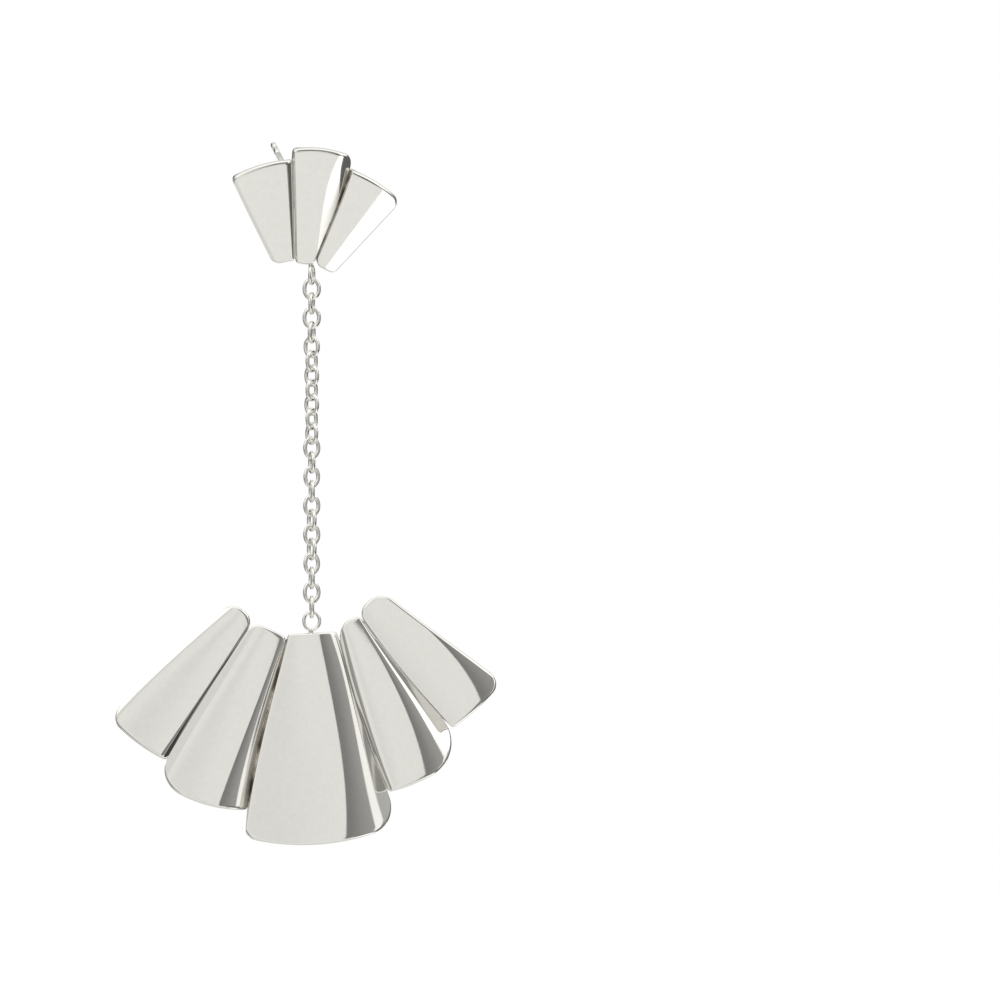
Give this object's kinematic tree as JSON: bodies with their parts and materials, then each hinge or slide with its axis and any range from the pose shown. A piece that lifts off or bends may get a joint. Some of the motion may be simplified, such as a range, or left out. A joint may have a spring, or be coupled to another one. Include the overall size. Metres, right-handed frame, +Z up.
{
  "type": "fan drop earring",
  "caption": "Long drop earring in silver: a pleated fan stud on an ear post, a fine cable chain and a larger pleated fan that hangs free.",
  "frame": {"origin": "where the ear post leaves the back of the stud, which is the hole in the ear lobe's front", "axes": "+Z up along the hanging chain, the front of the fans towards -Y, the fans spread along X"},
  "size_m": [0.0458, 0.0121, 0.0849],
  "materials": {
    "polished_silver": "cast silver, polished to a soft mirror, with fine wear and brown tarnish in the creases",
    "chain_silver": "drawn silver wire, soldered links, polished, darker where the links rub"
  },
  "bodies": {
    "earring": {"stud": "polished_silver", "link_01": "chain_silver", "link_02": "chain_silver", "link_03": "chain_silver", "link_04": "chain_silver", "link_05": "chain_silver", "link_06": "chain_silver", "link_07": "chain_silver", "link_08": "chain_silver", "link_09": "chain_silver", "link_10": "chain_silver", "link_11": "chain_silver", "link_12": "chain_silver", "link_13": "chain_silver", "link_14": "chain_silver", "link_15": "chain_silver", "link_16": "chain_silver", "link_17": "chain_silver", "link_18": "chain_silver", "link_19": "chain_silver", "link_20": "chain_silver", "link_21": "chain_silver", "link_22": "chain_silver", "link_23": "chain_silver"},
    "drop": {"drop_fan": "polished_silver"}
  },
  "joints": [
    {"name": "drop_swing", "type": "hinge", "parent": "earring", "child": "drop", "pos_m": [0.00293, 0.004, -0.05353], "axis": [0, 1, 0], "range_deg": [-60, 60]}
  ]
}
